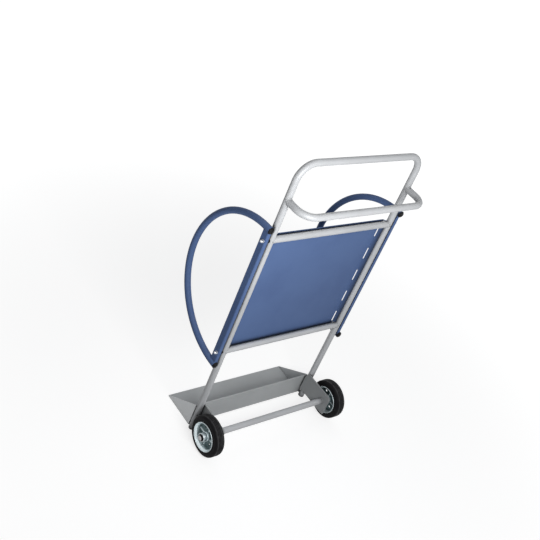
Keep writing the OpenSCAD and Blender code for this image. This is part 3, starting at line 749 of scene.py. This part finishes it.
# %% Guard end plugs
PLUG_STEPS = 48
tube_lo, tube_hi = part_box("right_guard_tube")
guard_x = (tube_lo.x + tube_hi.x) / 2
plug_outline = [(0.0, 6.5), (3.2, 6.5), (4.6, 6.2), (5.1, 5.3), (6.6, 5.1), (7.2, 5.8), (8.8, 5.2),
                (10.6, 4.1), (12.0, 2.7), (12.8, 1.5), (13.0, 0.7), (13.0, 0.05), (10.9, 0.0),
                (10.9, -9.0), (0.0, -9.0)]
ends = [Vector((sign * guard_x, tube_lo.y, z)) for _, sign in SIDES
        for z in (tube_lo.z + tube_r, tube_hi.z - tube_r)]
plug_places = [aim(at, (0, -1, 0)) for at in ends]
plug = piece_from("ringed_end_plugs", spread(spin(plug_outline, PLUG_STEPS, False), plug_places),
                  black_plastic, "frame")
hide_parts("guard_end_plugs")
print("plugs at", [[round(v, 3) for v in at] for at in ends])

# %% Panel rivets
HEAD_R, HEAD_HIGH, RIVETS_PER_RAIL, RIVET_STEPS = 4.8, 1.5, 4, 32
heads_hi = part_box("panel_rivets")[1]
rivet_y, span = heads_hi.y - HEAD_HIGH * MM, heads_hi.x - HEAD_R * MM
rivet_outline = [(0.0, 0.9), (1.3, 0.9), (1.4, 1.6), (1.8, 1.75), (3.0, 1.55), (4.1, 1.0),
                 (4.75, 0.4), (HEAD_R, 0.0), (2.4, 0.0), (2.4, -5.0), (0.0, -5.0)]
stations = [span * (2 * k / (RIVETS_PER_RAIL - 1) - 1) for k in range(RIVETS_PER_RAIL)]
heads = [aim(Vector((x, rivet_y, z)), (0, 1, 0)) for x in stations for z in rail_heights]
rivets = piece_from("blind_rivets", spread(spin(rivet_outline, RIVET_STEPS, False), heads),
                    bright_zinc, "frame")
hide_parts("panel_rivets")
print("rivets:", len(heads))

# %% [markdown]
# ## Weld seams
# Welded joints carry a rippled bead that the paint rounds off. A bead is a thin tube laid along the
# line where two parts meet, with its thickness swelling a little for every drop of metal. Where two
# equal tubes cross, that line is a saddle: it sinks by the tube's own curve.

# %% Lay a bead
RING, RIPPLE, TAPER, DROP, BEAD_STEP = 8, 0.16, 0.35, 2.6, 0.65
SADDLE_STEPS, SEAM_SHARP = 72, 60.0
OFF_AXIS = Vector((0.31, 0.53, 0.79))
X_AXIS, Y_AXIS, Z_AXIS = Vector((1, 0, 0)), Vector((0, 1, 0)), Vector((0, 0, 1))


def bead(path, radius, closed, drop=DROP):
    """Shape of a rippled tube along a path in metres; radius and drop in mm."""
    points, faces, travelled = [], [], 0.0
    count = len(path)
    for i, at in enumerate(path):
        before = path[i - 1] if closed or i else at
        after = path[(i + 1) % count] if closed or i < count - 1 else at
        along = (after - before).normalized()
        if i:
            travelled += (at - path[i - 1]).length / MM
        side = along.cross(OFF_AXIS).normalized()
        over = along.cross(side)
        tip = 1.0 if closed else min(1.0, TAPER + min(i, count - 1 - i) * TAPER)
        swell = radius * tip * (1.0 + RIPPLE * math.sin(math.tau * travelled / drop)) * MM
        for k in range(RING):
            turn = math.tau * k / RING
            points.append(at + (side * math.cos(turn) + over * math.sin(turn)) * swell)
    for i in range(count if closed else count - 1):
        here, beyond = i * RING, (i + 1) % count * RING
        for k in range(RING):
            m = (k + 1) % RING
            faces.append((here + k, here + m, beyond + m, beyond + k))
    if not closed:
        faces += [tuple(range(RING)), tuple(range((count - 1) * RING, count * RING))]
    return points, faces


def saddle(centre, towards, side, radius):
    """Loop where a tube that leaves along a direction meets an upright tube of the same radius."""
    loop = []
    for k in range(SADDLE_STEPS):
        turn = math.tau * k / SADDLE_STEPS
        round_it = side * math.cos(turn) + Z_AXIS * math.sin(turn)
        loop.append(centre + radius * (round_it + towards * abs(math.sin(turn))))
    return loop


def straight(start, end):
    """Points along a straight seam."""
    start, end = Vector(start), Vector(end)
    count = max(4, int((end - start).length / MM / BEAD_STEP))
    return [start.lerp(end, k / (count - 1)) for k in range(count)]


def seam_piece(name, beads, material):
    """One piece of the frame from several beads."""
    return piece_from(name, joined(beads), material, "frame", SEAM_SHARP)


print("bead helper ready")

# %% Seams on the tubes
TUBE_BEAD = 1.7
beads = []
for _, sign in SIDES:
    for z in rail_heights:
        joint = Vector((sign * upright_x, upright_y, z))
        beads.append(bead(saddle(joint, -sign * X_AXIS, Y_AXIS, tube_r), TUBE_BEAD, True))
    joint = Vector((sign * upright_x, upright_y, handle_z))
    beads.append(bead(saddle(joint, -Y_AXIS, X_AXIS, tube_r), TUBE_BEAD, True))
seam_piece("tube_seams", beads, silver_coat)
print("tube seams:", len(beads))

# %% Seams on the brackets and the axle tube
AXLE_BEAD, AXLE_STEPS, AXLE_OFF = 1.8, 80, 0.6 * MM
EDGE_BEAD, EDGE_OFF, EDGE_AHEAD = 2.0, 0.9 * MM, 6.4 * MM
FREE_BELOW, FREE_ABOVE = 8 * MM, 14 * MM
plate_lo, plate_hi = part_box("right_axle_bracket")
collar_r = extent("axle_tube").z / 2 + AXLE_OFF
beads = []
for _, sign in SIDES:
    circle = []
    for k in range(AXLE_STEPS):
        turn = math.tau * k / AXLE_STEPS
        circle.append(Vector((sign * (plate_lo.x - AXLE_OFF),
                              axle_at.y + collar_r * math.cos(turn),
                              axle_at.z + collar_r * math.sin(turn))))
    beads.append(bead(circle, AXLE_BEAD, True))
    seam_x, seam_y = sign * (plate_hi.x + EDGE_OFF), upright_y + EDGE_AHEAD
    line = straight((seam_x, seam_y, plate_lo.z + FREE_BELOW),
                    (seam_x, seam_y, plate_hi.z - FREE_ABOVE))
    beads.append(bead(line, EDGE_BEAD, False))
seam_piece("bracket_seams", beads, shaded_bracket_coat)
print("bracket seams:", len(beads))

# %% Seams on the toe plate
TOE_BEAD, TOE_SHEET, TOE_IN = 1.5, 4 * MM, 0.4 * MM
FREE_BEHIND, FREE_AHEAD, FREE_FOOT, FREE_TOP = 16 * MM, 14 * MM, 18 * MM, 6 * MM
toe_lo, toe_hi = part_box("toe_plate")
base_top, flange_y = toe_lo.z + TOE_SHEET, toe_lo.y + TOE_SHEET
beads = []
for _, sign in SIDES:
    edge_x = sign * (toe_hi.x - TOE_IN)
    beads.append(bead(straight((edge_x, toe_lo.y + FREE_BEHIND, base_top),
                               (edge_x, toe_hi.y - FREE_AHEAD, base_top)), TOE_BEAD, False))
    beads.append(bead(straight((edge_x, flange_y, toe_lo.z + FREE_FOOT),
                               (edge_x, flange_y, toe_hi.z - FREE_TOP)), TOE_BEAD, False))
seam_piece("toe_seams", beads, plate_coat)
print("toe seams:", len(beads))

# %% Tack welds behind the toe plate
WELD_HIGH, WELDS, RUNS, RUN_DROP, WELD_BULGE = 6.0 * MM, 3, (-3.6, 0.0, 3.6), 3.2, 0.6
weld_lo, weld_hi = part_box("toe_welds")
gap = toe_lo.y - upright_y - tube_r
gap_y, lump_r = toe_lo.y - gap / 2, gap / MM / 2 + WELD_BULGE
lumps = []
for _, sign in SIDES:
    for k in range(WELDS):
        low = weld_lo.z + (weld_hi.z - weld_lo.z - WELD_HIGH) * k / (WELDS - 1)
        for dx in RUNS:
            x = sign * upright_x + dx * MM
            run = straight((x, gap_y, low), (x, gap_y, low + WELD_HIGH))
            lumps.append(bead(run, lump_r, False, RUN_DROP))
tacks = seam_piece("toe_tack_welds", lumps, plate_coat)
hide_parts("toe_welds")
print("tack welds:", len(lumps) // len(RUNS))

# %% Seams on the guards
GUARD_BEAD, CORNER_R, CORNER_STEPS, LOOP_STEP = 1.3, 4.0 * MM, 6, 0.7
bar_lo, bar_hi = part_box("right_guard_bar")
guard_mid = (tube_lo.z + tube_hi.z) / 2
guard_r = (tube_hi.z - tube_lo.z) / 2 - tube_r
arc_y = tube_hi.y - tube_r - guard_r


def bar_outline_points():
    """Outline of the flat-sided tube seen from above, with rounded corners and even steps."""
    mid, half = (bar_lo + bar_hi) / 2, (bar_hi - bar_lo) / 2
    corners = []
    for cx, cy, first in ((1, 1, 0), (-1, 1, 90), (-1, -1, 180), (1, -1, 270)):
        for k in range(CORNER_STEPS + 1):
            turn = math.radians(first + 90 * k / CORNER_STEPS)
            corners.append((mid.x + cx * (half.x - CORNER_R) + CORNER_R * math.cos(turn),
                            mid.y + cy * (half.y - CORNER_R) + CORNER_R * math.sin(turn)))
    outline = []
    for (x0, y0), (x1, y1) in zip(corners, corners[1:] + corners[:1]):
        steps = max(1, int(math.hypot(x1 - x0, y1 - y0) / MM / LOOP_STEP))
        outline += [(x0 + (x1 - x0) * k / steps, y0 + (y1 - y0) * k / steps) for k in range(steps)]
    return outline


def bar_loop(sign, end):
    """Loop where the flat-sided tube meets the round one; end is -1 below and +1 above."""
    ring = []
    for x, y in bar_outline_points():
        centre = math.sqrt(guard_r ** 2 - max(y - arc_y, 0.0) ** 2)
        sink = math.sqrt(max(tube_r ** 2 - (x - guard_x) ** 2, 0.0))
        ring.append(Vector((sign * x, y, guard_mid + end * (centre - sink))))
    return ring


beads = [bead(bar_loop(sign, end), GUARD_BEAD, True) for _, sign in SIDES for end in (-1, 1)]
seam_piece("guard_seams", beads, blue_coat)
print("guard seams:", len(beads))

# %% [markdown]
# ## Floor, light and camera
# The trolley stands on a plain white floor that keeps its shadow. One large soft lamp stands up and
# to the left on the handle's side and looks at the upper half, so the panel and the tubes fade from
# top left to bottom right; a weak one fills from the front. The room is white where it is seen or
# mirrored, and lights a little less from the left. The photograph has the trolley leaned back on
# its wheels; here it stands on its toe plate, so the camera is rolled to see it from the same side
# at the same slant.

# %% Camera
CAMERA_BACK = Vector((-2.0951, -1.5885, 2.4064))
LOOK = Vector((0.6356, 0.5419, -0.5498)).normalized()
IMAGE_UP = Vector((0.1266, 0.6293, 0.7667))
FOCAL_PX, PHOTO_PX, SENSOR = 850.4, 540.0, 36.0
image_right = LOOK.cross(IMAGE_UP).normalized()
image_up = image_right.cross(LOOK).normalized()
lens = bpy.data.cameras.new("camera")
lens.sensor_width = SENSOR
lens.lens = SENSOR * FOCAL_PX / PHOTO_PX
lens.clip_end = 100.0
camera = bpy.data.objects.new("camera", lens)
bpy.context.scene.collection.objects.link(camera)
eye = CAMERA_BACK + Vector((0, upright_y, 0))
turn = Matrix((image_right, image_up, -LOOK)).transposed()
camera.matrix_world = Matrix.Translation(eye) @ turn.to_4x4()
bpy.context.scene.camera = camera
print("camera at", [round(v, 3) for v in eye], "lens", round(lens.lens, 1), "mm")

# %% Floor
WHITE, FLOOR_GREY, FLOOR_SIZE, FLOOR_BELOW = (1, 1, 1, 1), (0.42, 0.42, 0.42, 1), 60.0, 0.5 * MM
NEAR, FAR, NEAR_LIFT, FAR_LIFT = 0.6, 2.8, 0.74, 0.97


def seen_rays(tree):
    """One for a ray from the camera or from a reflection or through glass, else nought."""
    path = add(tree, "ShaderNodeLightPath")
    seen = math_node(tree, "MAXIMUM", path.outputs["Is Camera Ray"], path.outputs["Is Glossy Ray"])
    return math_node(tree, "MAXIMUM", seen, path.outputs["Is Transmission Ray"])


def white_backing(tree):
    """A diffuse floor that shows its shadows, lifted to white for the camera and in reflections."""
    tree.nodes.clear()
    plain = add(tree, "ShaderNodeBsdfDiffuse", Color=FLOOR_GREY)
    away = add(tree, "ShaderNodeVectorMath", {"operation": "LENGTH"}, _0=place_in(tree))
    lift = ramp(tree, away.outputs["Value"], NEAR, FAR, NEAR_LIFT, FAR_LIFT)
    glow = add(tree, "ShaderNodeEmission", Color=WHITE, Strength=lift)
    lifted = add(tree, "ShaderNodeAddShader", _0=plain.outputs[0], _1=glow.outputs[0])
    blend = add(tree, "ShaderNodeMixShader", _0=seen_rays(tree), _1=plain.outputs[0],
                _2=lifted.outputs[0])
    out = add(tree, "ShaderNodeOutputMaterial")
    tree.links.new(blend.outputs[0], out.inputs["Surface"])


bpy.ops.mesh.primitive_plane_add(size=FLOOR_SIZE, location=(0, 0, -FLOOR_BELOW))
floor = bpy.context.object
floor.name = "floor"
pale = bpy.data.materials.new("pale_floor")
pale.use_nodes = True
white_backing(pale.node_tree)
floor.data.materials.append(pale)
print("floor:", floor.name, "in", pale.name)

# %% World
DIM_WALL, LIT_WALL = (0.085, 0.086, 0.089, 1), (0.36, 0.365, 0.37, 1)
world = bpy.data.worlds.new("white_studio")
bpy.context.scene.world = world
world.use_nodes = True
sky = world.node_tree
sky.nodes.clear()
heading = part_of(sky, add(sky, "ShaderNodeTexCoord").outputs["Generated"], "X")
walls = mix_colour(sky, ramp(sky, heading, -0.8, 0.5), DIM_WALL, LIT_WALL)
room = add(sky, "ShaderNodeBackground", Color=walls, Strength=1.0)
white = add(sky, "ShaderNodeBackground", Color=WHITE, Strength=1.0)
blend = add(sky, "ShaderNodeMixShader", _0=seen_rays(sky), _1=room.outputs[0], _2=white.outputs[0])
sky.links.new(blend.outputs[0], add(sky, "ShaderNodeOutputWorld").inputs["Surface"])
print("world:", world.name)


# %% Lamps
def lamp(name, offset, size, watts, lift=0.0):
    """A square area lamp that looks at the middle of the trolley, or above it by a lift."""
    data = bpy.data.lights.new(name, "AREA")
    data.size = size
    data.energy = watts
    light = bpy.data.objects.new(name, data)
    bpy.context.scene.collection.objects.link(light)
    light.location = (cad_lo + cad_hi) / 2 + offset
    light.rotation_mode = "QUATERNION"
    light.rotation_quaternion = (Vector((0, 0, lift)) - offset).to_track_quat("-Z", "Y")
    return light


key = lamp("key", Vector((-0.7, -1.25, 0.8)), size=0.9, watts=26.0, lift=0.95)
fill = lamp("fill", image_up * 2.0 + image_right * 0.4, size=1.6, watts=4.5)
bpy.context.scene.view_settings.view_transform = "Standard"
print("lamps:", key.name, fill.name)
